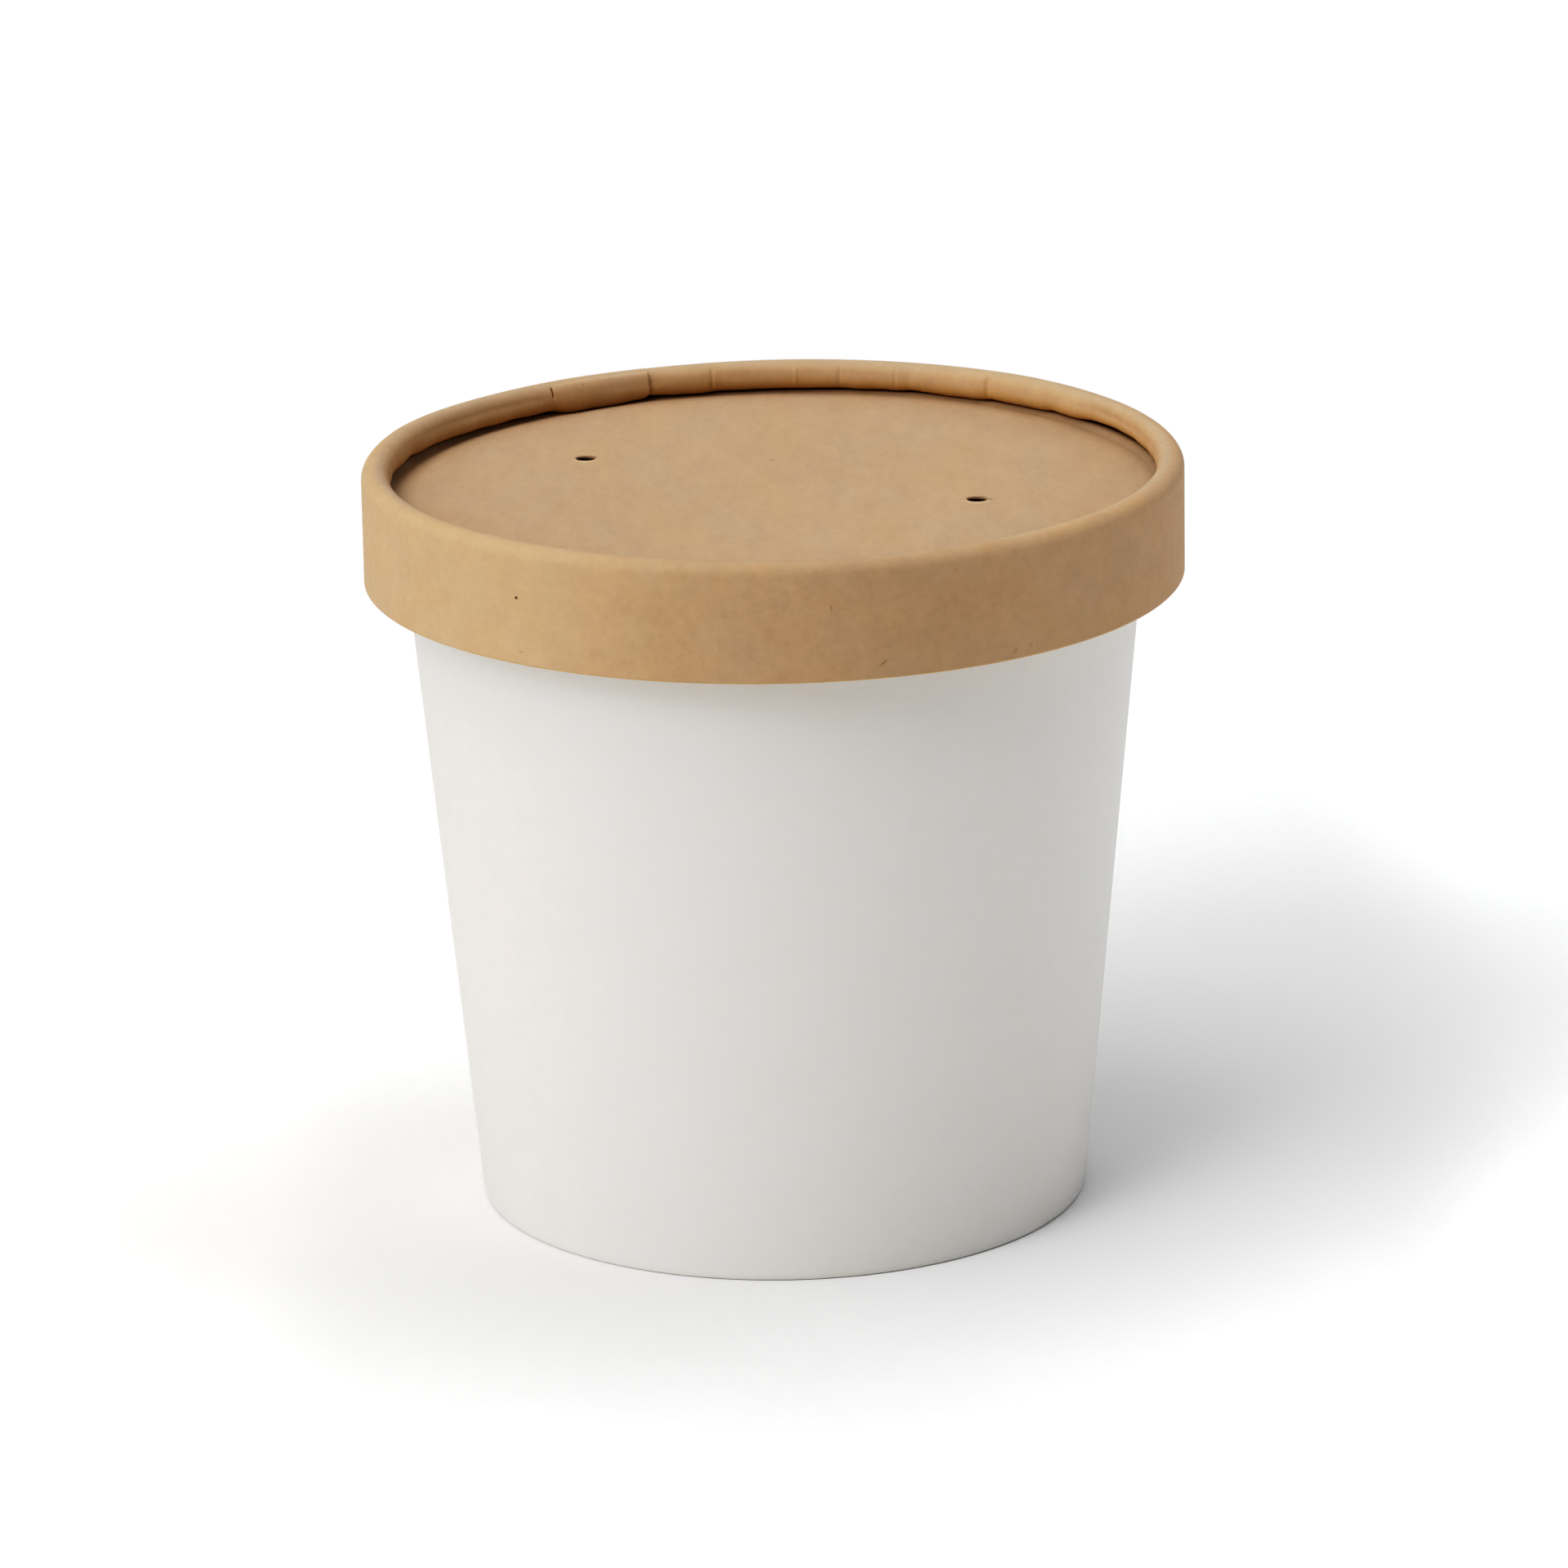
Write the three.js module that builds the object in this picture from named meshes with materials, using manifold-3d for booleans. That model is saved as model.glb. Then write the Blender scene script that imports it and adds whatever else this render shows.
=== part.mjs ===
// A shut paper tub for ice cream: a tapered white cup under a kraft lid with a rolled edge.
// Millimetres, +Z up. The origin is on the surface that the cup stands on, under its middle.
// Angles run anticlockwise seen from above, from +X. The front of the cup looks along -Y.

import * as THREE from "three";
import { mergeVertices } from "three/addons/utils/BufferGeometryUtils.js";
import Module from "manifold-3d";

// ---- Driving dimensions ----

const HEIGHT = 92.9; // floor to the top of the lid's rolled edge
const LID_DIAMETER = 100;
const BAND_HEIGHT = 14.4; // the lid's side, roll included
const ROLL_DIAMETER = 3.4;
const BOARD = 0.45; // paperboard, one layer
const GAP = 0.2; // between pieces that touch

const BASE_DIAMETER = 74.9;
const WALL_SLOPE = 0.0929; // how much the wall's radius grows for each millimetre of height
const RIM_DIAMETER = 97.5;
const FOOT_WIDTH = 1.3; // wall, base skirt and folded edge together
const FOOT_FOLD = 5.2; // height that the folded edge reaches inside the foot
const BASE_RECESS = 6.5; // floor to the underside of the base panel
const HEADSPACE = 3.5; // lid to the level that the solid stands for

const VENT_DIAMETER = 2.5;
const VENT_PLACES = [
  [-23, 13.7],
  [24.6, -8.9],
];

// Where the boards overlap, the outer flap ends in a free edge and lies over the other.
const LID_LAP = { edge: 110, width: 17, fade: 9, step: 0.3 }; // degrees and mm
const CUP_LAP = { edge: 78, width: 8, fade: 4, step: 0.35 };
const LAP_EDGE_WIDTH = 0.25; // degrees

// The roll hangs lower just left of the lid's lap and is pinched just right of it.
const ROLL_HANG = { height: 0.25, fade: 30 };
const ROLL_PINCH = { depth: 0.2, fade: 22 };

const SIDES = 96; // facets round the cup and the lid
const WALL_STEPS = 3; // facets up the wall
const ROLL_STEP = 15; // degrees between the points of a rounded section

// ---- Worked-out dimensions ----

const LID_RADIUS = LID_DIAMETER / 2;
const ROLL_RADIUS = ROLL_DIAMETER / 2;
const ROLL_CENTRE = { r: LID_RADIUS - ROLL_RADIUS, z: HEIGHT - ROLL_RADIUS };
const BAND_BOTTOM = HEIGHT - BAND_HEIGHT;
const DISC_TOP = HEIGHT - ROLL_DIAMETER - GAP - 0.1;
const DISC_BOTTOM = DISC_TOP - BOARD;
const BAND_INNER = LID_RADIUS - 2 * BOARD; // the disc's skirt is glued inside the band
const SKIRT_BOTTOM = BAND_BOTTOM + 1.8;
const RIM_TOP = DISC_BOTTOM - GAP;
const BASE_RADIUS = BASE_DIAMETER / 2;
const RIM_BEAD = (RIM_DIAMETER / 2 - (BASE_RADIUS + WALL_SLOPE * RIM_TOP - BOARD)) / 2; // radius

// ---- Small helpers ----

const radians = (degrees) => (degrees * Math.PI) / 180;
const wallRadius = (z) => BASE_RADIUS + WALL_SLOPE * z;
const smooth = (t) => THREE.MathUtils.smoothstep(t, 0, 1);
const anticlockwiseFrom = (edge, degrees) => (((degrees - edge) % 360) + 360) % 360;

// How far the outer flap of a lap lifts the surface at an angle: sharply at its free edge,
// and in a soft ramp where the inner flap ends under it.
function lapLift(lap, degrees) {
  const past = anticlockwiseFrom(lap.edge, degrees);
  return lap.step * (1 - smooth((past - lap.width) / lap.fade));
}

// Points of a round stretch of a section, from one angle to another.
function arc(centre, radiusAt, from, to) {
  const count = Math.round(Math.abs(to - from) / ROLL_STEP);
  return Array.from({ length: count + 1 }, (_, i) => {
    const turn = from + ((to - from) * i) / count;
    const radius = radiusAt(turn);
    return [
      centre.r + radius * Math.cos(radians(turn)),
      centre.z + radius * Math.sin(radians(turn)),
    ];
  });
}

// Angles round the part, with two close together at the lap's free edge.
function anglesRound(lap) {
  const even = Array.from({ length: SIDES }, (_, i) => (360 * i) / SIDES);
  const edge = [lap.edge - LAP_EDGE_WIDTH, lap.edge];
  return [...new Set([...even, ...edge])].sort((a, b) => a - b);
}

// Sweeps a section round +Z. sectionAt(degrees) gives [radius, height] points, anticlockwise
// with radius to the right. A section that starts and ends on the axis is closed there.
function sweep(sectionAt, angles) {
  const rings = angles.map(sectionAt);
  const onAxis = rings[0][0][0] === 0;
  const points = rings[0].length;
  const positions = rings.flatMap((ring, j) =>
    ring.flatMap(([r, z]) => [
      r * Math.cos(radians(angles[j])),
      r * Math.sin(radians(angles[j])),
      z,
    ]),
  );
  const faces = [];
  const segments = onAxis ? points - 1 : points;
  angles.forEach((_, j) => {
    const here = j * points;
    const next = ((j + 1) % angles.length) * points;
    for (let i = 0; i < segments; i++) {
      const k = (i + 1) % points;
      faces.push(here + i, next + i, next + k, here + i, next + k, here + k);
    }
  });
  const geometry = new THREE.BufferGeometry();
  geometry.setAttribute("position", new THREE.Float32BufferAttribute(positions, 3));
  geometry.setIndex(faces);
  return welded(geometry);
}

// Merges shared points and drops the faces that have collapsed on the axis.
function welded(geometry) {
  geometry.deleteAttribute("normal");
  geometry.deleteAttribute("uv");
  const merged = mergeVertices(geometry, 1e-4);
  const index = merged.index.array;
  const kept = [];
  for (let i = 0; i < index.length; i += 3) {
    const [a, b, c] = index.subarray(i, i + 3);
    if (a !== b && b !== c && c !== a) kept.push(a, b, c);
  }
  merged.setIndex(kept);
  return merged;
}

const wasm = await Module();
wasm.setup();

function toSolid(geometry) {
  const merged = welded(geometry);
  return new wasm.Manifold(
    new wasm.Mesh({
      numProp: 3,
      vertProperties: new Float32Array(merged.attributes.position.array),
      triVerts: new Uint32Array(merged.index.array),
    }),
  );
}

function toGeometry(solid) {
  const mesh = solid.getMesh();
  const geometry = new THREE.BufferGeometry();
  geometry.setAttribute("position", new THREE.BufferAttribute(mesh.vertProperties, 3));
  geometry.setIndex(new THREE.BufferAttribute(mesh.triVerts, 1));
  return geometry;
}

function piece(name, geometry, material) {
  geometry.computeVertexNormals();
  const mesh = new THREE.Mesh(geometry, material);
  mesh.name = name;
  return mesh;
}

// ---- Materials ----

const whiteBoard = () =>
  new THREE.MeshStandardMaterial({ color: 0xe8e5e1, roughness: 0.55, metalness: 0 });

const kraftBoard = () =>
  new THREE.MeshStandardMaterial({ color: 0xc69d6f, roughness: 0.8, metalness: 0 });

// ---- The cup: a recessed base in a folded foot, a tapered wall and a rolled rim ----

function footSection() {
  const inner = BASE_RADIUS - FOOT_WIDTH;
  return [
    [0, BASE_RECESS],
    [inner - 0.2, BASE_RECESS],
    [inner + BOARD, BASE_RECESS - 0.4],
    [inner + BOARD, FOOT_FOLD],
    [inner + 0.1, FOOT_FOLD - 0.3],
    [inner + 0.1, 0.3],
    [inner + 0.3, 0],
    [BASE_RADIUS - 0.3, 0],
    [BASE_RADIUS - 0.05, 0.2],
  ];
}

function wallSection(lift) {
  const low = 0.7;
  const high = RIM_TOP - 2 * RIM_BEAD;
  return Array.from({ length: WALL_STEPS + 1 }, (_, i) => {
    const z = low + ((high - low) * i) / WALL_STEPS;
    return [wallRadius(z) + lift, z];
  });
}

// The rim's board goes up the inside, over the top and curls down on the outside.
function rimSection() {
  const centre = { r: RIM_DIAMETER / 2 - RIM_BEAD, z: RIM_TOP - RIM_BEAD };
  const meetsWall = 225;
  const floor = DISC_BOTTOM - HEADSPACE;
  return [
    ...arc(centre, () => RIM_BEAD, meetsWall, 540),
    [wallRadius(floor) - BOARD, floor],
    [0, floor],
  ];
}

function makeCup() {
  const section = (degrees) => {
    const lift = lapLift(CUP_LAP, degrees);
    return [...footSection(), ...wallSection(lift), ...rimSection()];
  };
  return piece("cup", sweep(section, anglesRound(CUP_LAP)), whiteBoard());
}

// ---- The lid: a band rolled in at its top, and a vented disc under the roll ----

// How much the roll's inner side stands out or in at an angle, beside the lap.
function rollHang(degrees) {
  const past = anticlockwiseFrom(LID_LAP.edge, degrees);
  const before = 360 - past;
  const hang = ROLL_HANG.height * (1 - smooth((past - LID_LAP.width) / ROLL_HANG.fade));
  const pinch = ROLL_PINCH.depth * (1 - smooth(before / ROLL_PINCH.fade));
  return past < 180 ? hang : -pinch;
}

function bandSection(degrees) {
  const lift = lapLift(LID_LAP, degrees);
  const hang = rollHang(degrees);
  const rollRadius = (turn) => {
    const outside = lift * (1 - smooth(turn / 90));
    const inside = hang * smooth((turn - 90) / 90) * (1 - 0.6 * smooth((turn - 220) / 50));
    return ROLL_RADIUS + outside + inside;
  };
  return [
    [LID_RADIUS + lift, BAND_BOTTOM],
    ...arc(ROLL_CENTRE, rollRadius, 0, 300),
    [BAND_INNER, DISC_TOP + GAP],
    [BAND_INNER, SKIRT_BOTTOM],
    [LID_RADIUS - BOARD, SKIRT_BOTTOM - 0.3],
    [LID_RADIUS - BOARD, BAND_BOTTOM],
  ];
}

function makeBand() {
  return piece("lid_band", sweep(bandSection, anglesRound(LID_LAP)), kraftBoard());
}

function makeDisc() {
  const radius = BAND_INNER - GAP;
  const plate = new THREE.CylinderGeometry(radius, radius, BOARD, SIDES);
  plate.rotateX(Math.PI / 2);
  let solid = toSolid(plate);
  for (const [x, y] of VENT_PLACES) {
    const punch = new THREE.CylinderGeometry(VENT_DIAMETER / 2, VENT_DIAMETER / 2, 4, 32);
    punch.rotateX(Math.PI / 2);
    punch.translate(x, y, 0);
    solid = solid.subtract(toSolid(punch));
  }
  const disc = piece("lid_disc", toGeometry(solid), kraftBoard());
  disc.position.z = (DISC_TOP + DISC_BOTTOM) / 2;
  return disc;
}

// ---- The scene graph ----

const lid = new THREE.Group();
lid.add(makeBand(), makeDisc());

const tub = new THREE.Group();
tub.add(makeCup(), lid);

export default tub;
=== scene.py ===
import math

import bmesh
import bpy
import numpy as np
from mathutils import Matrix, Vector, geometry, noise


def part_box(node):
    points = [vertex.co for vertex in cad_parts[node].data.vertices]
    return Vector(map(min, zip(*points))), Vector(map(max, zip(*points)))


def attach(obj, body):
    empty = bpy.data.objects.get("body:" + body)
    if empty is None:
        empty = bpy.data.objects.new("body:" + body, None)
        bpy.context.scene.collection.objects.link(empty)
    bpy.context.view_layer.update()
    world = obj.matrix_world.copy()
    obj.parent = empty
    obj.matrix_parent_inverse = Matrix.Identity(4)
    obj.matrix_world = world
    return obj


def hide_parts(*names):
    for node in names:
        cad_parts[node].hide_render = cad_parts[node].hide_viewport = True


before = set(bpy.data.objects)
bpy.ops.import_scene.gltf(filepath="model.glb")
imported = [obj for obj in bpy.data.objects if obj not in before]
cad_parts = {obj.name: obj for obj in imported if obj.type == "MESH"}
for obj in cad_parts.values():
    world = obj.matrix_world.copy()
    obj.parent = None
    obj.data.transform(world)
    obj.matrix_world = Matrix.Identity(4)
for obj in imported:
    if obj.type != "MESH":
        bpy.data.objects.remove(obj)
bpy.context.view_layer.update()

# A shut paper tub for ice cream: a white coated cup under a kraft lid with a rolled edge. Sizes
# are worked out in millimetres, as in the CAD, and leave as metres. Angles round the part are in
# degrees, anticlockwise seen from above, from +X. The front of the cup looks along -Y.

MM = 0.001
SEED = 11

# ---- Sizes, from the frame and as in the CAD ----


def frame_box_mm(node):
    low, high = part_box(node)
    return low / MM, high / MM


BAND_LOW, BAND_HIGH = frame_box_mm("lid_band")
DISC_LOW, DISC_HIGH = frame_box_mm("lid_disc")
CUP_LOW, CUP_HIGH = frame_box_mm("cup")

BOARD = 0.45  # paperboard, one layer

LID_RADIUS = (BAND_HIGH.x - BAND_LOW.x) / 2
LID_TOP = BAND_HIGH.z
BAND_BOTTOM = BAND_LOW.z
BAND_INNER = LID_RADIUS - 2 * BOARD  # the disc's skirt is glued inside the band
SKIRT_BOTTOM = BAND_BOTTOM + 1.8
ROLL_RADIUS = 1.7
ROLL_R = LID_RADIUS - ROLL_RADIUS
ROLL_Z = LID_TOP - ROLL_RADIUS

DISC_TOP = DISC_HIGH.z
DISC_RADIUS = (DISC_HIGH.x - DISC_LOW.x) / 2
VENT_RADIUS = 1.25
VENT_PLACES = ((-23.0, 13.7), (24.6, -8.9))

BASE_RADIUS = 37.45
WALL_SLOPE = 0.0929  # how much the wall's radius grows for each millimetre of height
FOOT_WIDTH = 1.3
FOOT_FOLD = 5.2  # height of the folded edge inside the foot
BASE_RECESS = 6.5  # floor to the underside of the base panel
HEADSPACE = 3.5  # lid to the level that the cup is solid up to
RIM_RADIUS = (CUP_HIGH.x - CUP_LOW.x) / 2
RIM_TOP = CUP_HIGH.z - 0.65  # leaves room for the disc's pressed edge

# ---- Reliefs that the CAD leaves out ----

# Laps of the boards: where the outer flap's edge is, how wide the lap is and over how much it
# fades, in degrees, and its step in mm.
LID_LAP = {"edge": 109.2, "width": 16.4, "fade": 9.0, "step": 0.3}
CUP_LAP = {"edge": 78.0, "width": 8.0, "fade": 4.0, "step": 0.35}

# How far the top of the roll stands over its plain height, in (degrees, mm).
ROLL_RISE = (
    (0, 0.05), (30, 0.14), (48, 0.14), (60, 0.05), (75, -0.03), (85, -0.12), (95, -0.22),
    (105, -0.3), (115, -0.36), (127, -0.38), (135, -0.33), (142, -0.24), (150, -0.1),
    (160, 0.03), (175, 0.0), (270, 0.0),
)

# How much the curl swells on its inner, lower side, in (degrees, mm).
ROLL_SWELL = (
    (0, -0.1), (12, -0.3), (20, -0.45), (28, -0.52), (33, -0.28), (37, 0.0), (40, 0.05),
    (42, -0.13), (44, 0.0), (48, 0.1), (51.5, 0.06), (54.3, -0.12), (57, 0.14), (63, 0.08),
    (66, 0.08), (68.3, -0.12), (70.5, 0.06), (75.5, 0.0), (78.5, -0.04), (80.8, 0.02),
    (83, -0.02), (86, 0.06), (89, 0.06), (93, -0.04), (98, -0.02), (101, 0.16), (105, 0.18),
    (109, -0.16), (112, -0.1), (118, 0.18), (122, 0.2), (125.2, 0.0), (128, -0.1), (131, -0.12),
    (138, -0.12), (145, -0.11), (150, -0.08), (155, -0.06), (168, 0.05), (200, 0.0),
)

# How far the curl's inner side leans back, low side out and high side in, in (degrees, mm).
ROLL_LEAN = (
    (0, 0.0), (107, 0.0), (111, 0.12), (118, 0.12), (124, 0.06), (128, 0.1), (134, 0.22),
    (142, 0.3), (148, 0.27), (156, 0.13), (168, 0.0),
)

# Creases across the curl: place and half width in degrees, and depth in mm. A ridge has a depth
# below 0.
ROLL_CREASES = (
    (99.3, 0.35, 0.17), (86.2, 0.3, -0.1), (79.3, 0.4, 0.09),
    (70.4, 0.4, 0.09), (54.4, 0.7, 0.2), (31.5, 0.5, 0.14),
)

# The outer board's free end on the curl: where it starts, how sharp its edge is, how far its
# lower corner is rounded off, and where and over how much it fades, in degrees, and how thick it
# looks in mm.
FLAP = {"start": LID_LAP["edge"], "sharp": 0.3, "corner": 1.4, "fade_from": 123.0, "fade": 3.5,
        "height": 0.38}

# The slit in the curl where the free end stops: its place and half its width in degrees, and its
# depth in mm.
SLIT = {"place": 126.0, "half": 0.24, "depth": 0.6}

# Random unevenness of the roll: from how many to how many waves a turn, and its size in mm.
SOFT_WAVES = (5, 14, 0.03)
CURL_WAVES = (16, 60, 0.065)

# Where the reliefs lie round the roll's tube, on which 0 degrees faces out, 90 up, 180 to the
# middle and 270 down. A ramp is (start, width). A zone is the ramp that it sets in over and, where
# it has an end, the ramp that it ends over.
LAP_END = (0, 90)
FLAP_CORNER = (200, 50)
FLAP_ZONE = ((110, 25),)
SOFT_ZONE = ((40, 60),)
SWELL_ZONE = ((105, 75), (235, 50))
CREASE_ZONE = ((120, 30), (200, 40))
SLIT_ZONE = ((126, 14), (166, 16))
CURL_ZONE = ((160, 60), (265, 30))

# Bumps round the tube: their middle and half their width in degrees, and their height in mm or,
# for the two of the lean, as a share of it.
ROLL_SQUARE = (228, 65, 0.32)
LEAN_OUT = (230, 60, 1.0)
LEAN_IN = (160, 78, -0.45)

# How far the disc is pressed down beside the band, in (degrees, mm).
DISC_DIP = (
    (0, 0.4), (20, 0.5), (30, 0.48), (42, 0.32), (60, 0.3), (80, 0.45), (110, 0.55),
    (130, 0.75), (160, 0.85), (180, 0.8), (220, 0.5), (320, 0.3),
)

# The ramps, in mm from the disc's middle, that this dip and the edge tucked under the roll set in
# over.
DIP_RAMP = (39.0, 9.0)
TUCK_RAMP = (46.9, 0.9)
TUCK_CLEAR = 0.03  # the tucked edge's height over the plain level, besides the roll's rise

# The disc's other reliefs, in mm: a dome, a soft unevenness with its scale for each mm and its
# place in the noise, and the pushed edges of the vents.
DISC_DOME = 0.15
DISC_UNEVEN = {"size": 0.03, "scale": 0.07, "place": 3.0}
VENT_PUSH = {"size": 0.05, "reach": 0.35}


# ---- Small helpers ----


def smooth(t):
    t = np.clip(t, 0.0, 1.0)
    return t * t * (3 - 2 * t)


def ramp(values, start, width):
    """A soft rise from 0 at start to 1 a width further on."""
    return smooth((values - start) / width)


def zone(values, rise, fall=None, left=0.0):
    """1 after the ramp rise, and what is left of that after the ramp fall, if there is one."""
    if fall is None:
        return ramp(values, *rise)
    return ramp(values, *rise) * (1 - (1 - left) * ramp(values, *fall))


def bump_at(values, centre, half_width, height=1.0):
    """A round-topped bump at centre, wrapped round 360 degrees."""
    away = np.abs(np.mod(values - centre + 180.0, 360.0) - 180.0)
    return height * (1 - smooth(away / half_width))


def table(points, degrees):
    """Values round the part, read between the points of a table of (degrees, value)."""
    places, values = zip(*points)
    return np.interp(degrees, places, values, period=360)


def wave(degrees, rng, low, high, size):
    """A smooth random height round the part: a sum of waves with low to high periods a turn."""
    total = np.zeros_like(degrees)
    counts = range(low, high + 1)
    for count in counts:
        total += rng.normal() * np.cos(np.radians(count * degrees) + rng.uniform(0, 2 * math.pi))
    return size * total / math.sqrt(len(counts))


def lap_lift(lap, degrees):
    """Lift of the surface over a lap: sharp at the outer flap's edge, soft over the inner one's."""
    past = np.mod(degrees - lap["edge"], 360.0)
    return lap["step"] * (1 - ramp(past, lap["width"], lap["fade"]))


def lifted(outline, follows, lift):
    """Radii and heights, as (angles, points), of an outline of (radius, height) points. At each
    angle, a point moves out by its share of the lift there."""
    points = np.array(outline, float)
    radii = points[:, 0] + lift[:, None] * np.array(follows)
    return radii, np.broadcast_to(points[:, 1], radii.shape)


def sorted_angles(*groups):
    """Angles of all the groups in one turn, in order and each once."""
    return np.unique(np.round(np.mod(np.concatenate(groups), 360), 4))


def arc(r, z, radius, start, end, count):
    """Points of a round stretch of an outline, from one angle to another."""
    turns = np.radians(np.linspace(start, end, count))
    return [(r + radius * math.cos(turn), z + radius * math.sin(turn)) for turn in turns]


def circle(x, y, radius, count, start=0.0):
    """Evenly spaced points of a circle, the first of them at an angle in radians."""
    turns = start + np.arange(count) * 2 * math.pi / count
    return [(x + radius * math.cos(turn), y + radius * math.sin(turn)) for turn in turns]


def mesh_object(name, points_mm, faces, uvs):
    """An object from points in mm, faces and one UV pair for each face corner, shaded smooth."""
    mesh = bpy.data.meshes.new(name)
    mesh.from_pydata([tuple(point) for point in np.asarray(points_mm) * MM], [], faces)
    layer = mesh.uv_layers.new(name="board")
    layer.data.foreach_set("uv", np.asarray(uvs, np.float32).ravel())
    mesh.shade_smooth()
    mesh.update()
    piece = bpy.data.objects.new(name, mesh)
    bpy.context.scene.collection.objects.link(piece)
    return piece


def close_poles(piece):
    """Merges the points on the axis and removes the faces that collapse there."""
    bm = bmesh.new()
    bm.from_mesh(piece.data)
    on_axis = [v for v in bm.verts if v.co.xy.length < 1e-7]
    bmesh.ops.remove_doubles(bm, verts=on_axis, dist=1e-7)
    bm.to_mesh(piece.data)
    bm.free()


def swept_object(name, degrees, radii, heights, radius_for_uv):
    """A surface swept round +Z from section points: radii and heights are (angles, points).
    A section whose ends lie on the axis is closed there, and any other closes on itself."""
    angles, points = radii.shape
    on_axis = radii[0, 0] == 0
    turn = np.radians(degrees)[:, None]
    xyz = np.stack([radii * np.cos(turn), radii * np.sin(turn), heights], -1)
    along = np.hypot(np.diff(radii.mean(0)), np.diff(heights.mean(0)))
    closing = 1.0  # mm of board that the short step that closes a section is given
    u = np.radians(np.append(degrees, degrees[0] + 360)) * radius_for_uv
    v = np.concatenate([[0.0], np.cumsum(np.append(along, closing))])
    faces, uvs = [], []
    for j in range(angles):
        here, there = j * points, ((j + 1) % angles) * points
        for i in range(points - 1 if on_axis else points):
            k = (i + 1) % points
            faces.append((here + i, there + i, there + k, here + k))
            uvs += [(u[j], v[i]), (u[j + 1], v[i]), (u[j + 1], v[i + 1]), (u[j], v[i + 1])]
    piece = mesh_object(name, xyz.reshape(-1, 3), faces, uvs)
    if on_axis:
        close_poles(piece)
    return piece


# ---- The lid's band ----

# Where the points of the roll lie round its tube: closer together on its inner side.
ROLL_TURNS = np.concatenate([np.linspace(0, 90, 10)[:-1], np.linspace(90, 300, 38)])


def flap_relief(degrees, turns):
    """Height of the free end on the curl: a sharp edge, with its lower corner rounded off."""
    start = FLAP["start"] + FLAP["corner"] * ramp(turns, *FLAP_CORNER) ** 2
    rise = (start, FLAP["sharp"])
    fall = (FLAP["fade_from"], FLAP["fade"])
    return FLAP["height"] * zone(degrees, rise, fall) * zone(turns, *FLAP_ZONE)


def crease_relief(degrees, turns):
    """Depth of the creases across the curl and of the slit at the free end."""
    depth = bump_at(degrees, SLIT["place"], SLIT["half"], SLIT["depth"]) * zone(turns, *SLIT_ZONE)
    for place, half, deep in ROLL_CREASES:
        depth = depth + bump_at(degrees, place, half, deep) * zone(turns, *CREASE_ZONE)
    return depth


def roll_relief(degrees, turns):
    """Height of the roll over a plain tube, in mm. The angles round the part are a column and the
    turns round the tube a row."""
    rng = np.random.default_rng(SEED)
    return (
        lap_lift(LID_LAP, degrees) * (1 - ramp(turns, *LAP_END))
        + table(ROLL_SWELL, degrees) * zone(turns, *SWELL_ZONE, left=0.5)
        + table(ROLL_LEAN, degrees) * (bump_at(turns, *LEAN_OUT) + bump_at(turns, *LEAN_IN))
        + bump_at(turns, *ROLL_SQUARE)
        + flap_relief(degrees, turns)
        - crease_relief(degrees, turns)
        + wave(degrees, rng, *SOFT_WAVES) * zone(turns, *SOFT_ZONE)
        + wave(degrees, rng, *CURL_WAVES) * zone(turns, *CURL_ZONE)
    )


def roll_surface(degrees):
    """Radii and heights of the roll, as (angles, points)."""
    angles = degrees[:, None]
    radius = ROLL_RADIUS + roll_relief(angles, ROLL_TURNS[None, :])
    turns = np.radians(ROLL_TURNS)
    radii = ROLL_R + radius * np.cos(turns)
    return radii, ROLL_Z + table(ROLL_RISE, angles) + radius * np.sin(turns)


def band_outline():
    """(radius, height) points up the band's outer side, and those down inside it, from the roll
    over the lower edges of the skirt and the band. The corners of these are a little rounded."""
    outer_round, inner_round, skirt_round = 0.12, 0.08, 0.05
    glue_line = LID_RADIUS - BOARD
    side = np.linspace(BAND_BOTTOM + 1.0, ROLL_Z - 0.4, 12)
    outer = [(LID_RADIUS, z) for z in (BAND_BOTTOM + outer_round, BAND_BOTTOM + 0.3, *side)]
    inner = [
        (BAND_INNER, DISC_TOP + 0.2),
        (BAND_INNER, DISC_TOP - 3),
        (BAND_INNER, SKIRT_BOTTOM + 2 * skirt_round),
        (BAND_INNER + skirt_round, SKIRT_BOTTOM),
        (glue_line - skirt_round, SKIRT_BOTTOM),
        (glue_line, SKIRT_BOTTOM - 2 * skirt_round),
        (glue_line, BAND_BOTTOM + inner_round),
        (glue_line + inner_round, BAND_BOTTOM),
        (LID_RADIUS - outer_round, BAND_BOTTOM),
    ]
    return outer, inner


def band_angles():
    """Angles round the band: close together at the back, where the curl shows, and closest at the
    free end's edge and the slit."""
    back = np.arange(15, 180, 0.25)
    front = np.arange(180, 375, 0.75)
    edge = FLAP["start"] + np.arange(-0.1, 0.21, 0.05)
    slit = SLIT["place"] + np.arange(-0.3, 0.31, 0.06)
    return sorted_angles(back, front, edge, slit)


def make_band():
    degrees = band_angles()
    lift = lap_lift(LID_LAP, degrees)
    outer, inner = band_outline()
    parts = [
        lifted(outer, [1.0] * len(outer), lift),
        roll_surface(degrees),
        lifted(inner, [0.0] * (len(inner) - 1) + [1.0], lift),
    ]
    radii, heights = (np.concatenate(stretches, 1) for stretches in zip(*parts))
    return swept_object("kraft_band", degrees, radii, heights, LID_RADIUS)


# ---- The lid's disc ----

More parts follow.
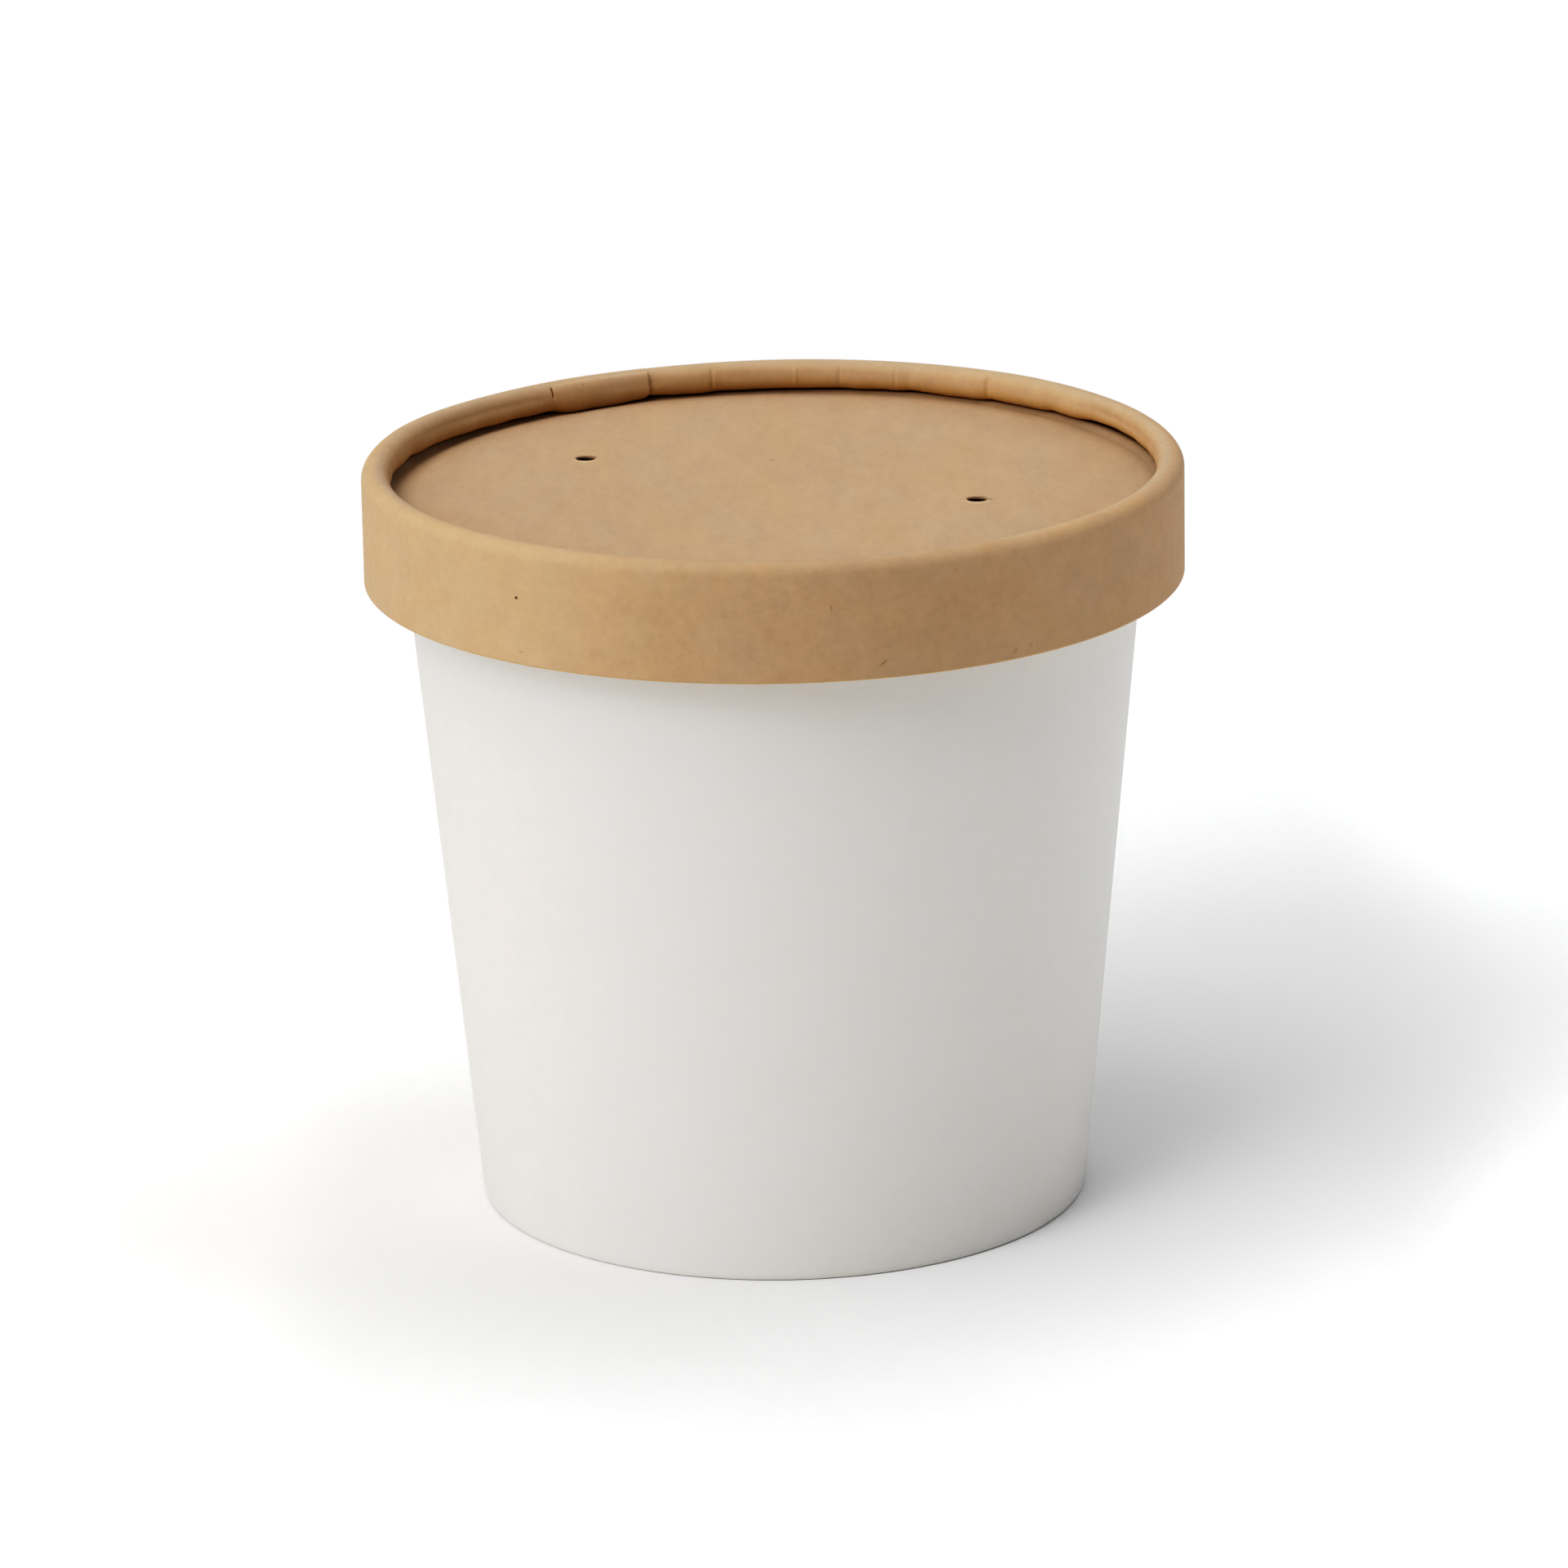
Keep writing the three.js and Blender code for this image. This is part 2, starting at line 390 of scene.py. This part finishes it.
# Rings of points that the disc's mesh is made of, as (radius in mm, points for each mm of it):
# even ones, and closer ones near its edge. Each is turned a little, in radians, against the last.
EVEN_RINGS = [(DISC_RADIUS * ring / 24, 3) for ring in range(1, 23)]
EDGE_RINGS = [(radius, 8) for radius in (46.0, 46.6, 46.9, 47.1, 47.3, 47.5, 47.7, 47.9, 48.2)]
FEWEST_POINTS = 12
RING_TURN = 0.1
EDGE_POINTS = 360

# Those round each vent, as radii in mm, in a place kept clear for them.
VENT_RINGS = (1.3, 1.36, 1.45, 1.6, 1.9, 2.3)
VENT_CLEAR = 2.6
VENT_POINTS = 48
VENT_RING_TURN = 0.065


def ring_points():
    """Points inside the disc's plan, with those near a vent in rings round it."""
    points = []
    for ring, (radius, for_each_mm) in enumerate(EVEN_RINGS + EDGE_RINGS):
        count = max(FEWEST_POINTS, int(radius * for_each_mm))
        points += circle(0, 0, radius, count, ring * RING_TURN)
    for x, y in VENT_PLACES:
        points = [p for p in points if math.hypot(p[0] - x, p[1] - y) > VENT_CLEAR]
        for ring, radius in enumerate(VENT_RINGS):
            points += circle(x, y, radius, VENT_POINTS, ring * VENT_RING_TURN)
    return points + [(0.0, 0.0)]


def in_vent(point):
    return any(math.dist(point, vent) < VENT_RADIUS for vent in VENT_PLACES)


def disc_layout():
    """Points and triangles of the disc's flat plan, with a hole at each vent."""
    loops = [circle(0, 0, DISC_RADIUS, EDGE_POINTS)]
    loops += [circle(x, y, VENT_RADIUS, VENT_POINTS) for x, y in VENT_PLACES]
    points, edges = [], []
    for loop in loops:
        first = len(points)
        points += loop
        edges += [(first + i, first + (i + 1) % len(loop)) for i in range(len(loop))]
    corners = [Vector(point) for point in points + ring_points()]
    made = geometry.delaunay_2d_cdt(corners, edges, [], 1, 1e-6)
    plan = np.array([tuple(point) for point in made[0]])
    return plan, [tuple(face) for face in made[2] if not in_vent(plan[list(face)].mean(0))]


def disc_height(x, y):
    """Top of the disc: a faint dome, soft unevenness, and a pushed edge at each vent.
    Beside the band it dips, and its edge turns up under the roll."""
    out = math.hypot(x, y)
    place = math.degrees(math.atan2(y, x))
    height = DISC_DOME * (1 - (out / DISC_RADIUS) ** 2)
    height -= table(DISC_DIP, place) * ramp(out, *DIP_RAMP)
    tucked = table(ROLL_RISE, place) + TUCK_CLEAR
    height += (tucked - height) * ramp(out, *TUCK_RAMP)
    scale = DISC_UNEVEN["scale"]
    where = Vector((x * scale, y * scale, DISC_UNEVEN["place"]))
    height += DISC_UNEVEN["size"] * noise.noise(where)
    for vent_x, vent_y in VENT_PLACES:
        reach = math.hypot(x - vent_x, y - vent_y)
        near = 1 - ramp(reach, VENT_RADIUS, VENT_PUSH["reach"])
        height -= VENT_PUSH["size"] * (y - vent_y) / reach * near
    return height


def make_disc():
    """The disc's top and underside, and walls at the edges that only one triangle has."""
    plan, triangles = disc_layout()
    count = len(plan)
    top = [(x, y, DISC_TOP + disc_height(x, y)) for x, y in plan]
    bottom = [(x, y, z - BOARD) for x, y, z in top]
    under = [tuple(i + count for i in reversed(face)) for face in triangles]
    edges = [edge for face in triangles for edge in zip(face, face[1:] + face[:1])]
    all_edges = set(edges)
    walls = [(b, a, a + count, b + count) for a, b in edges if (b, a) not in all_edges]
    points = top + bottom
    faces = triangles + under + walls
    uvs = [points[i][:2] for face in faces for i in face]
    return mesh_object("kraft_disc", points, faces, uvs)


# ---- The cup ----


def wall_radius(z):
    return BASE_RADIUS + WALL_SLOPE * z


RIM_BEAD = (RIM_RADIUS - (wall_radius(RIM_TOP) - BOARD)) / 2  # radius of the rolled rim
CUP_STEPS = 480  # points round the cup, besides those at its lap's edge


def foot_outline():
    """(radius, height) points from the middle of the base panel over the groove behind the folded
    edge, down its side and round the foot to the wall."""
    inner = BASE_RADIUS - FOOT_WIDTH
    groove = inner + BOARD
    fold = inner + 0.1
    panel = [(r, BASE_RECESS) for r in (0, 12, 24, 33, inner - 0.6)]
    return panel + [
        (inner - 0.1, BASE_RECESS - 0.06),
        (inner + 0.25, BASE_RECESS - 0.25),
        (groove, BASE_RECESS - 0.6),
        (groove, FOOT_FOLD + 0.05),
        (inner + 0.4, FOOT_FOLD),
        (inner + 0.15, FOOT_FOLD),
        (fold, FOOT_FOLD - 0.1),
        (fold, FOOT_FOLD / 2),
        (fold, 0.45),
        (inner + 0.16, 0.2),
        (inner + 0.35, 0.0),
        (BASE_RADIUS - 0.4, 0.0),
        (BASE_RADIUS - 0.15, 0.08),
        (BASE_RADIUS, 0.3),
    ]


def cup_outline():
    """The cup's outline from the base to the inside, and each point's share of the lap's lift."""
    foot = foot_outline()
    wall = [(wall_radius(z), z) for z in np.linspace(0.9, RIM_TOP - 2 * RIM_BEAD, 60)]
    rim = arc(RIM_RADIUS - RIM_BEAD, RIM_TOP - RIM_BEAD, RIM_BEAD, 225, 540, 36)
    floor = DISC_TOP - BOARD - HEADSPACE
    floor_radius = wall_radius(floor) - BOARD
    inside = [(floor_radius, floor + 0.2), (floor_radius - 0.2, floor), (20, floor), (0, floor)]
    follows = [0.0] * (len(foot) - 1) + [0.5]
    follows += [1.0] * (len(wall) - 1) + [0.4]
    follows += [0.0] * (len(rim) + len(inside))
    return foot + wall + rim + inside, follows


def make_cup():
    even = np.arange(CUP_STEPS) * 360.0 / CUP_STEPS
    edge = CUP_LAP["edge"] + np.array([-0.12, -0.06, 0, 0.06])
    degrees = sorted_angles(even, edge)
    outline, follows = cup_outline()
    radii, heights = lifted(outline, follows, lap_lift(CUP_LAP, degrees))
    return swept_object("white_cup", degrees, radii, heights, BASE_RADIUS)


# ---- Colours and marks ----

WHITE = (0.799, 0.776, 0.738)
BAND_KRAFT = (0.570, 0.409, 0.268)
DISC_KRAFT = (0.529, 0.391, 0.270)
# Dark umber of the flecks, also used for the painted shade in the vents.
SPECK_AND_SHADE_UMBER = (0.09, 0.05, 0.025)
INSIDE_SHADE = (0.035, 0.022, 0.013)

# The cup's inside, painted in deep shade, starts above this height and within this radius, in mm.
INSIDE_BOTTOM = 84.0
INSIDE_RADIUS = 45.0

# Layers of mottle: noise scale, the noise levels that it spreads between, and its reach.
KRAFT_MOTTLE = (
    (0.07, 0.3, 0.7, 0.014), (0.3, 0.25, 0.75, 0.035), (0.9, 0.25, 0.75, 0.032),
    (2.6, 0.3, 0.7, 0.014),
)
WHITE_MOTTLE = ((0.12, 0.3, 0.7, 0.005), (0.6, 0.3, 0.7, 0.006))

# The warmer tone that a colour drifts to, for each of its parts, with the scale and the offset of
# the drift. The cooler tone mirrors it.
KRAFT_WARMTH = ((1.012, 0.996, 0.972), 0.13, (11, 50, 0))
WHITE_WARMTH = ((1.006, 0.999, 0.994), 0.25, (5, 9, 0))

# Sets of fibres: direction in radians, offset of the pattern, and the noise level over which it
# shows as fibres. Then what a fibre changes the tone by.
PALE_FIBRES = ((0.35, (3, 8, 0), 0.66), (-0.8, (40, 2, 0), 0.68))
DARK_FIBRES = ((1.9, (9, 31, 0), 0.68), (0.05, (70, 5, 0), 0.69))
PALE_CHANGE = 0.022
DARK_CHANGE = -0.035

# The pattern of each set: its scale along, across and through a fibre, how soft its edge is, and
# how far it bends, in mm, with the scale of the bends.
FIBRE_SCALE = (0.45, 7.0, 1.0)
FIBRE_EDGE = 0.06
FIBRE_BEND = (1.2, 1.2, 0)
BEND_SCALE = 0.6

# Small specks: the scale of the cells that can hold one, the share without one, and where a speck
# starts to fade and ends, from its middle, as a share of a cell, and how dark it is.
SPECK_CELLS = 0.16
SPECK_FREE = 0.7
SPECK_FADE = (0.016, 0.03)
SPECK_DEPTH = 0.5
MARK_FADE = (0.6, 1.3)  # the same for a mark, as a share of its half width

# Surfaces: range of roughness, and strength and depth in metres of the fine relief.
KRAFT_ROUGHNESS = (0.66, 0.8)
KRAFT_GLOSS = 0.42
KRAFT_BUMP = (0.35, 0.00005)
WHITE_ROUGHNESS = (0.44, 0.5)
WHITE_BUMP = (0.12, 0.00004)

# Painted shade on the disc beside the band's roll, darkest at this radius in mm: over how many mm
# it sets in, and how dark.
RIM_SHADE_RADIUS = 48.0
RIM_SHADES = ((4.5, 0.84), (16.0, 0.93))

# The band's board has painted light along its curl: a cool painted sheen round its top, which is
# this far up the board in mm, and warm painted shade under it.
CURL_TOP = 15.6
CURL_SHEEN_TINT = (0.94, 1.0, 1.09)
CURL_SHADE_TINT = (1.06, 1.0, 0.7)
NO_TINT = (1.0, 1.0, 1.0)

# Specks on the lid: (u, v, length, width, turn) in mm on the board, and how dark.
BAND_MARKS = (
    ((203.12, 8.0, 0.42, 0.36, 0.0), 0.9),
    ((203.64, 1.5, 0.9, 0.35, 0.0), 0.16),
    ((242.2, 8.8, 0.18, 0.75, 0.15), 0.3),
    ((248.3, 1.75, 1.1, 0.3, 0.7), 0.3),
    ((257.4, 11.9, 0.15, 0.5, 0.0), 0.25),
    ((265.4, 0.95, 0.9, 0.6, 0.6), 0.14),
    ((267.7, 1.25, 0.7, 0.6, 0.4), 0.13),
)
DISC_SPECKS_AND_VENT_SHADES = (
    ((0.0, 11.1, 0.8, 0.5, 0.0), 0.3),
    ((-30.6, -21.5, 0.5, 0.4, 0.5), 0.12),
    ((26.2, -8.9, 0.7, 0.5, 0.0), 0.5),
    # At each vent: painted shade in the vent's back wall and on the board just behind it.
    *(((x, y + 0.35, 2.4, 2.0, 0.0), 0.85) for x, y in VENT_PLACES),
)

# Paler and darker places on the lid: an oval in mm on the board, and the change in tone. The darker
# one on the band is painted shade across its front. Each vent has a pale lip at its front.
BAND_PAINTED_SHADE = (((239.0, 4.0, 54.0, 40.0, 0.0), -0.085),)
DISC_TONES = [
    ((x, y - 0.55, 2.6, 2.5, 0.0), change) for (x, y), change in zip(VENT_PLACES, (0.22, 0.2))
]

# Painted light and shade on the floor, as soft changes of its tone, each from one place to another
# in metres, with the tones there: paler across the floor at its left and right, where the cup's
# shade fades out, and outwards from a place under the cup, duller near it: a painted soft shade.
FLOOR_PAINTED_LIGHT_LEFT = (-0.068, -0.05, 1.035, 1.0)
FLOOR_PAINTED_LIGHT_RIGHT = (0.072, 0.1, 0.92, 1.0)
FLOOR_PAINTED_SHADE = (0.05, 0.11, 0.955, 1.0)
PAINTED_SHADE_MIDDLE = (-0.02, 0.01, 0.0)


# ---- Materials ----


class Nodes:
    """A short way to add shader nodes to one material."""

    def __init__(self, name):
        self.material = bpy.data.materials.new(name)
        self.material.use_nodes = True
        self.tree = self.material.node_tree
        self.shader = self.tree.nodes["Principled BSDF"]

    def add(self, kind, inputs=None, **settings):
        node = self.tree.nodes.new(kind)
        for key, value in settings.items():
            setattr(node, key, value)
        for key, value in (inputs or {}).items():
            self.link(value, node.inputs[key])
        return node

    def link(self, value, socket):
        if isinstance(value, bpy.types.NodeSocket):
            self.tree.links.new(value, socket)
        else:
            socket.default_value = value

    def surface(self, **values):
        """Sets the shader's sockets. In their names here, _ stands for a space."""
        for key, value in values.items():
            self.link(value, self.shader.inputs[key.replace("_", " ")])

    def math(self, operation, a, b):
        node = self.add("ShaderNodeMath", {0: a, 1: b}, operation=operation)
        return node.outputs[0]

    def total(self, first, *others):
        for other in others:
            first = self.math("ADD", first, other)
        return first

    def product(self, first, *others):
        for other in others:
            first = self.math("MULTIPLY", first, other)
        return first

    def vector(self, operation, a, b=None, c=None, factor=None):
        """A vector calculation: a, b and c are vectors and factor is a number."""
        given = {i: value for i, value in enumerate((a, b, c, factor)) if value is not None}
        node = self.add("ShaderNodeVectorMath", given, operation=operation)
        return node.outputs["Value" if operation == "LENGTH" else "Vector"]

    def xyz(self, vector):
        return self.add("ShaderNodeSeparateXYZ", {0: vector}).outputs

    def mapped(self, vector, scale=(1, 1, 1), turn=0.0, move=(0, 0, 0)):
        inputs = {"Vector": vector, "Scale": scale, "Rotation": (0, 0, turn), "Location": move}
        return self.add("ShaderNodeMapping", inputs).outputs["Vector"]

    def noise(self, vector, scale, detail=2.0, roughness=0.5):
        inputs = {"Vector": vector, "Scale": scale, "Detail": detail, "Roughness": roughness}
        return self.add("ShaderNodeTexNoise", inputs).outputs["Fac"]

    def spread(self, value, low, high, to_low=0.0, to_high=1.0, kind="LINEAR"):
        inputs = {"Value": value, "From Min": low, "From Max": high,
                  "To Min": to_low, "To Max": to_high}
        return self.add("ShaderNodeMapRange", inputs, interpolation_type=kind).outputs["Result"]

    def blend(self, factor, first, second):
        """A colour between two, each a socket or an RGB triple."""
        node = self.add("ShaderNodeMix", data_type="RGBA")
        self.link(factor, node.inputs[0])
        for value, socket in ((first, node.inputs[6]), (second, node.inputs[7])):
            self.link((*value, 1.0) if isinstance(value, tuple) else value, socket)
        return node.outputs[2]

    def spot(self, place, mark):
        """1 inside an oval mark and 0 outside it. A mark is (u, v, length, width, turn) in mm."""
        u, v, length, width, turn = mark
        moved = self.vector("SUBTRACT", place, (u, v, 0))
        inputs = {"Vector": moved, "Axis": (0, 0, 1), "Angle": -turn}
        turned = self.add("ShaderNodeVectorRotate", inputs).outputs["Vector"]
        round_one = self.vector("MULTIPLY", turned, (2 / length, 2 / width, 1))
        return self.spread(self.vector("LENGTH", round_one), *MARK_FADE, 1.0, 0.0)

    def bump(self, height, strength, distance):
        inputs = {"Height": height, "Strength": strength, "Distance": distance}
        return self.add("ShaderNodeBump", inputs).outputs["Normal"]


def board_place(n):
    """Place on the flat board, in mm."""
    return n.add("ShaderNodeUVMap", uv_map="board").outputs["UV"]


def mottled(n, place, layers):
    """A factor of about 1 that wanders from place to place."""
    factor = 1.0
    for scale, low, high, reach in layers:
        factor = n.total(factor, n.spread(n.noise(place, scale), low, high, -reach, reach))
    return factor


def two_toned(n, colour, place, warmth, scale, move):
    """The colour, drifting between a warmer and a cooler tone of it."""
    warm = tuple(part * warmer for part, warmer in zip(colour, warmth))
    cool = tuple(part * (2 - warmer) for part, warmer in zip(colour, warmth))
    drift = n.spread(n.noise(n.mapped(place, move=move), scale), 0.35, 0.65)
    return n.blend(drift, warm, cool)


def fibres(n, place, sets):
    """Short thin bent fibres, in sets that each lie along one direction: 1 on a fibre, 0 off it."""
    found = []
    for turn, move, limit in sets:
        inputs = {"Vector": place, "Scale": BEND_SCALE, "Detail": 1.0}
        bends = n.add("ShaderNodeTexNoise", inputs).outputs["Color"]
        bent = n.vector("MULTIPLY_ADD", bends, FIBRE_BEND, place)
        along = n.mapped(bent, FIBRE_SCALE, turn, move)
        found.append(n.spread(n.noise(along, 1.0, 1.0), limit, limit + FIBRE_EDGE))
    return n.total(*found)


def speck_and_shade_depth(n, place, marks):
    """Depth of the dark flecks and painted shade: a sparse pattern of small ones, and the marks,
    which at the vents are painted shade.
    """
    inputs = {"Vector": place, "Scale": SPECK_CELLS, "Randomness": 1.0}
    cells = n.add("ShaderNodeTexVoronoi", inputs)
    number = n.add("ShaderNodeSeparateColor", {0: cells.outputs["Color"]}).outputs[0]
    in_few_cells = n.spread(number, SPECK_FREE, SPECK_FREE + 0.01)
    small = n.spread(cells.outputs["Distance"], *SPECK_FADE, SPECK_DEPTH, 0.0)
    depth = n.product(in_few_cells, small)
    for mark, deep in marks:
        depth = n.math("MAXIMUM", depth, n.product(n.spot(place, mark), deep))
    return depth


def kraft_material(name, colour, marks, tones, paint_light, grain_length=1.0):
    """Unbleached board: cloudy, mottled, with pale and dark fibres and a few dark flecks. The
    mottle is longer along the grain. The function given after the tones paints light and shade on
    it."""
    n = Nodes(name)
    place = board_place(n)
    along = n.mapped(place, (1.0, 1.0 / grain_length, 1.0))
    pale = fibres(n, place, PALE_FIBRES)
    dark = fibres(n, place, DARK_FIBRES)
    factor = mottled(n, along, KRAFT_MOTTLE)
    factor = n.total(factor, n.product(pale, PALE_CHANGE), n.product(dark, DARK_CHANGE))
    for mark, change in tones:
        factor = n.total(factor, n.product(n.spot(place, mark), change))
    drifting = two_toned(n, colour, along, *KRAFT_WARMTH)
    tinted = paint_light(n, n.vector("SCALE", drifting, factor=factor), place)
    fine = n.noise(place, 3.5, 3.0, 0.6)
    coarse = n.noise(place, 0.5)
    relief = n.total(fine, n.product(pale, 0.5), n.product(coarse, 0.8))
    n.surface(
        Base_Color=n.blend(speck_and_shade_depth(n, place, marks), tinted, SPECK_AND_SHADE_UMBER),
        Roughness=n.spread(n.noise(place, 1.1, 3.0), 0.3, 0.7, *KRAFT_ROUGHNESS),
        Specular_IOR_Level=KRAFT_GLOSS,
        Normal=n.bump(relief, *KRAFT_BUMP),
    )
    return n.material


def painted_rim_shade(n, colour, place):
    """Painted shade: darker towards the rim of the disc, beside the band's roll."""
    out = n.vector("LENGTH", place)
    shades = [n.spread(out, RIM_SHADE_RADIUS - width, RIM_SHADE_RADIUS, 1.0, dark)
              for width, dark in RIM_SHADES]
    return n.vector("SCALE", colour, factor=n.product(*shades))


def curl_sheen_and_shade(n, colour, place):
    """Paler and cooler round the curl's top, a painted sheen, and deeper and warmer in colour under
    it, painted shade.
    """
    up = n.xyz(place)["Y"]
    top = n.product(n.spread(up, CURL_TOP - 0.9, CURL_TOP),
                    n.spread(up, CURL_TOP, CURL_TOP + 1.6, 1.0, 0.0))
    under = n.spread(up, CURL_TOP + 2.2, CURL_TOP + 4.2)
    for share, tint in ((top, CURL_SHEEN_TINT), (under, CURL_SHADE_TINT)):
        colour = n.vector("MULTIPLY", colour, n.blend(share, NO_TINT, tint))
    return colour


def white_material(name, colour):
    """Smooth coated board. The inside, under the lid, is painted in deep shade."""
    n = Nodes(name)
    place = board_place(n)
    drifting = two_toned(n, colour, place, *WHITE_WARMTH)
    tinted = n.vector("SCALE", drifting, factor=mottled(n, place, WHITE_MOTTLE))
    where = n.add("ShaderNodeTexCoord").outputs["Object"]
    out = n.vector("LENGTH", n.mapped(where, scale=(1, 1, 0)))
    high = n.spread(n.xyz(where)["Z"], INSIDE_BOTTOM * MM, (INSIDE_BOTTOM + 0.2) * MM)
    within = n.spread(out, INSIDE_RADIUS * MM, (INSIDE_RADIUS + 0.3) * MM, 1.0, 0.0)
    n.surface(
        Base_Color=n.blend(n.product(high, within), tinted, INSIDE_SHADE),
        Roughness=n.spread(n.noise(place, 0.5), 0.3, 0.7, *WHITE_ROUGHNESS),
        Normal=n.bump(n.noise(place, 1.5, 3.0, 0.6), *WHITE_BUMP),
    )
    return n.material


def floor_material():
    """Matt white, with painted light and shade: a little paler at the far left and right, so that
    the cup's shadow fades out there, and a little duller round the cup, a painted soft shade."""
    n = Nodes("pale_floor")
    place = n.add("ShaderNodeTexCoord").outputs["Object"]
    across = n.xyz(place)["X"]
    out = n.vector("LENGTH", n.vector("SUBTRACT", place, PAINTED_SHADE_MIDDLE))
    tone = n.spread(n.noise(place, 40.0), 0.3, 0.7, 0.995, 1.0)
    for value, change in ((across, FLOOR_PAINTED_LIGHT_RIGHT), (across, FLOOR_PAINTED_LIGHT_LEFT), (out, FLOOR_PAINTED_SHADE)):
        tone = n.product(tone, n.spread(value, *change, kind="SMOOTHSTEP"))
    n.surface(
        Base_Color=n.vector("SCALE", (1.0, 1.0, 1.0), factor=tone),
        Roughness=0.9,
        Specular_IOR_Level=0.0,
    )
    return n.material


# ---- The floor, the camera and the light ----

FLOOR_HALF = 3.0

# The camera that the cup's outline in the photograph gives, in metres, degrees and, for the lens
# and the sensor, mm.
CAMERA_TARGET = Vector((0.000714, 0.0, 0.05112))
CAMERA_DISTANCE = 1.0072
CAMERA_DOWN = 16.966
CAMERA_ROLL = -0.997
CAMERA_LENS = 188.06
CAMERA_SENSOR = 36.0

# Large soft lights: azimuth, elevation and apparent size in degrees, strength and colour.
LIGHTS = {
    "key": (228, 40, 24, 0.130, (1.0, 1.0, 1.0)),
    "upper_key": (224, 49, 38, 0.207, (1.0, 1.0, 1.0)),
    "front_left": (230, 28, 45, 0.155, (1.0, 1.0, 1.0)),
    "left": (187, 10, 52, 0.290, (1.0, 1.0, 1.0)),
    "upper_left": (205, 66, 40, 0.146, (1.0, 1.0, 1.0)),
    "top": (0, 90, 60, 0.375, (1.0, 1.0, 1.0)),
    "right": (20, 30, 50, 0.108, (0.98, 1.0, 1.03)),
    "low_right": (0, 8, 50, 0.138, (0.93, 1.0, 1.12)),
    "back": (90, 20, 60, 0.113, (1.0, 1.0, 1.0)),
    "back_left": (120, 45, 60, 0.037, (1.0, 1.0, 1.0)),
    "back_right": (60, 60, 60, 0.090, (1.0, 1.0, 1.0)),
}
WORLD_STRENGTH = 0.002

# How the camera renders light levels: darker half tones under a bright, clear white.
TONE = (
    (0.02, 0.0008), (0.05, 0.0052), (0.1, 0.0200), (0.15, 0.0465), (0.2, 0.0850),
    (0.3, 0.1860), (0.4, 0.3090), (0.5, 0.4420), (0.6, 0.5650), (0.7, 0.6600),
    (0.78, 0.7200), (0.85, 0.7760), (0.92, 0.8550), (0.96, 0.9200),
)
ALL_COLOURS = 3  # the curve that works on red, green and blue alike


def make_floor():
    half = FLOOR_HALF
    mesh = bpy.data.meshes.new("studio_floor")
    corners = [(-half, -half, 0), (half, -half, 0), (half, half, 0), (-half, half, 0)]
    mesh.from_pydata(corners, [], [(0, 1, 2, 3)])
    floor = bpy.data.objects.new("studio_floor", mesh)
    bpy.context.scene.collection.objects.link(floor)
    floor.data.materials.append(floor_material())


def make_camera():
    data = bpy.data.cameras.new("camera")
    data.sensor_width = CAMERA_SENSOR
    data.lens = CAMERA_LENS
    camera = bpy.data.objects.new("camera", data)
    bpy.context.scene.collection.objects.link(camera)
    tilt = Matrix.Rotation(math.radians(90 - CAMERA_DOWN), 4, "X")
    roll = Matrix.Rotation(math.radians(CAMERA_ROLL), 4, "Z")
    turned = tilt @ roll
    back = turned.to_3x3() @ Vector((0, 0, 1))
    camera.matrix_world = Matrix.Translation(CAMERA_TARGET + back * CAMERA_DISTANCE) @ turned
    bpy.context.scene.camera = camera


def far_light(name, azimuth, elevation, size, strength, colour):
    """A light far away, as large as its apparent size in degrees, that gives even light."""
    data = bpy.data.lights.new(name, "SUN")
    data.energy = math.pi * strength
    data.angle = math.radians(size)
    data.color = colour
    lamp = bpy.data.objects.new(name, data)
    a, e = math.radians(azimuth), math.radians(elevation)
    way = Vector((math.cos(a) * math.cos(e), math.sin(a) * math.cos(e), math.sin(e)))
    lamp.rotation_mode = "QUATERNION"
    lamp.rotation_quaternion = way.to_track_quat("Z", "Y")
    bpy.context.scene.collection.objects.link(lamp)


def make_light():
    world = bpy.data.worlds.new("studio")
    world.use_nodes = True
    background = world.node_tree.nodes["Background"].inputs
    background["Color"].default_value = (1, 1, 1, 1)
    background["Strength"].default_value = WORLD_STRENGTH
    bpy.context.scene.world = world
    for name, values in LIGHTS.items():
        far_light(name, *values)


def set_tone():
    view = bpy.context.scene.view_settings
    view.view_transform = "Standard"
    view.use_curve_mapping = True
    curve = view.curve_mapping.curves[ALL_COLOURS]
    for x, y in TONE:
        curve.points.new(x, y)
    view.curve_mapping.update()


# ---- The object in its studio ----


def dress(piece, node, material):
    """Gives a piece its material, hangs it under the root body and hides the CAD solid that it
    stands for.
    """
    piece.data.materials.append(material)
    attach(piece, "root")
    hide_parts(node)


white_board = white_material("white_board", WHITE)
band_board = kraft_material("kraft_band", BAND_KRAFT, BAND_MARKS, BAND_PAINTED_SHADE, curl_sheen_and_shade)
disc_board = kraft_material("kraft_disc", DISC_KRAFT, DISC_SPECKS_AND_VENT_SHADES, DISC_TONES, painted_rim_shade,
                            grain_length=3.0)

dress(make_cup(), "cup", white_board)
dress(make_band(), "lid_band", band_board)
dress(make_disc(), "lid_disc", disc_board)

make_floor()
make_camera()
make_light()
set_tone()
